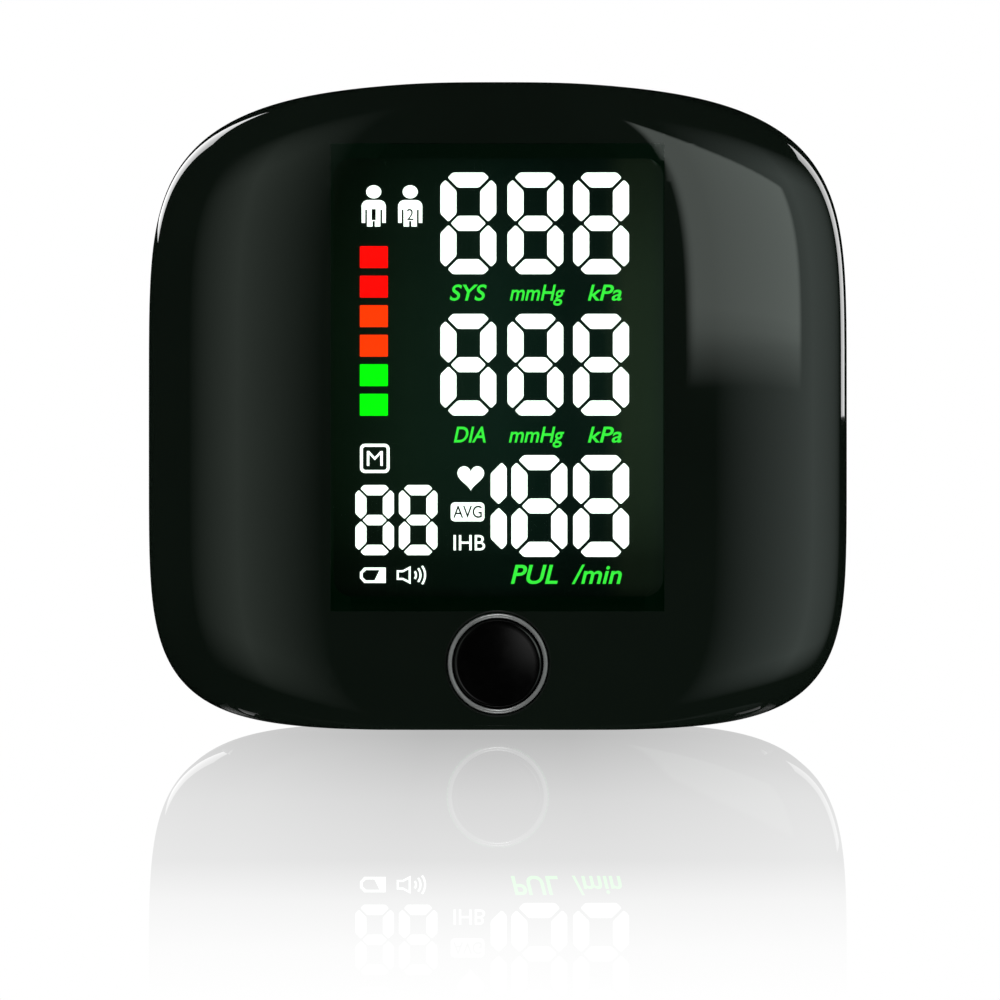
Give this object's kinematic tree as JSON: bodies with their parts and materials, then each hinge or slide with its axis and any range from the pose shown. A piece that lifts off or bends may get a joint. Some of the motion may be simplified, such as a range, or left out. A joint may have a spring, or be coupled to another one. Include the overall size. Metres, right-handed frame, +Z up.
{
  "type": "blood pressure monitor",
  "caption": "Upright upper arm blood pressure monitor with a rounded gloss housing, LED display behind a smoked front, ringed start button and hinged battery door.",
  "frame": {"origin": "middle of the box's bottom face, on the flat base the monitor stands on", "axes": "+Z up, -Y out of the display towards the user, +Y out of the battery door, +X to the viewer's right"},
  "size_m": [0.124, 0.051, 0.1142],
  "materials": {
    "front_gloss": "piano black with a faint green cast",
    "rear_plastic": "fine satin grain",
    "button_gloss": "polished black",
    "ring_chrome": "satin chrome plating",
    "plated_steel": "nickel plated",
    "board": "green solder mask",
    "white_plastic": "moulded",
    "grey_plastic": "moulded",
    "black_plastic": "moulded",
    "black_rubber": "matt",
    "tube_silicone": "milky",
    "display_film": "printed film over lit segments",
    "cell_jacket": "shrink film"
  },
  "bodies": {
    "root": {"air_manifold": "grey_plastic", "air_socket": "grey_plastic", "battery_1": "cell_jacket", "battery_2": "cell_jacket", "battery_3": "cell_jacket", "battery_4": "cell_jacket", "battery_spring_1": "plated_steel", "battery_spring_2": "plated_steel", "battery_spring_3": "plated_steel", "battery_spring_4": "plated_steel", "board_connector": "black_plastic", "board_screw_1": "plated_steel", "board_screw_2": "plated_steel", "button_ring": "ring_chrome", "case_screw_1": "plated_steel", "case_screw_2": "plated_steel", "case_screw_3": "plated_steel", "case_screw_4": "plated_steel", "charging_port": "plated_steel", "contact_bridge_left": "plated_steel", "contact_bridge_low": "plated_steel", "contact_bridge_right": "plated_steel", "contact_minus": "plated_steel", "contact_plus": "plated_steel", "controller_chip": "black_plastic", "display_board": "board", "display_film": "display_film", "display_housing": "white_plastic", "display_screw_1": "plated_steel", "display_screw_2": "plated_steel", "foot_1": "black_rubber", "foot_2": "black_rubber", "foot_3": "black_rubber", "foot_4": "black_rubber", "front_cover": "front_gloss", "main_board": "board", "pressure_sensor": "grey_plastic", "pump_diaphragm": "black_rubber", "pump_head": "grey_plastic", "pump_housing": "grey_plastic", "pump_motor": "plated_steel", "pump_sleeve": "black_rubber", "rear_cover": "rear_plastic", "speaker": "black_plastic", "switch_body": "black_plastic", "tube_pump": "tube_silicone", "tube_sensor": "tube_silicone", "tube_socket": "tube_silicone", "tube_valve": "tube_silicone", "valve_body": "plated_steel", "valve_spring": "plated_steel"},
    "start_button": {"start_button": "button_gloss"},
    "switch_plunger": {"switch_plunger": "white_plastic"},
    "battery_door": {"battery_door": "rear_plastic"},
    "pump_shaft": {"pump_shaft": "plated_steel"},
    "valve_plunger": {"valve_plunger": "grey_plastic"}
  },
  "joints": [
    {"name": "start_button_press", "type": "slide", "parent": "root", "child": "start_button", "axis": [0, 1, 0], "range_m": [0, 0.0006], "stiffness_N_per_m": 3000, "springref_m": -0.0002},
    {"name": "switch_press", "type": "slide", "parent": "root", "child": "switch_plunger", "axis": [0, 1, 0], "range_m": [0, 0.0006]},
    {"name": "battery_door_hinge", "type": "hinge", "parent": "root", "child": "battery_door", "pos_m": [0, 0.0235, 0.0144], "axis": [-1, 0, 0], "range_deg": [0, 90]},
    {"name": "pump_shaft_spin", "type": "hinge", "parent": "root", "child": "pump_shaft", "pos_m": [0, 0.0085, 0.0935], "axis": [1, 0, 0], "continuous": true},
    {"name": "valve_plunger_slide", "type": "slide", "parent": "root", "child": "valve_plunger", "axis": [0, 0, -1], "range_m": [0, 0.0008], "stiffness_N_per_m": 300, "springref_m": -0.0005}
  ],
  "couplings": [
    {"joint": "switch_press", "follows": "start_button_press", "ratio": 1}
  ]
}
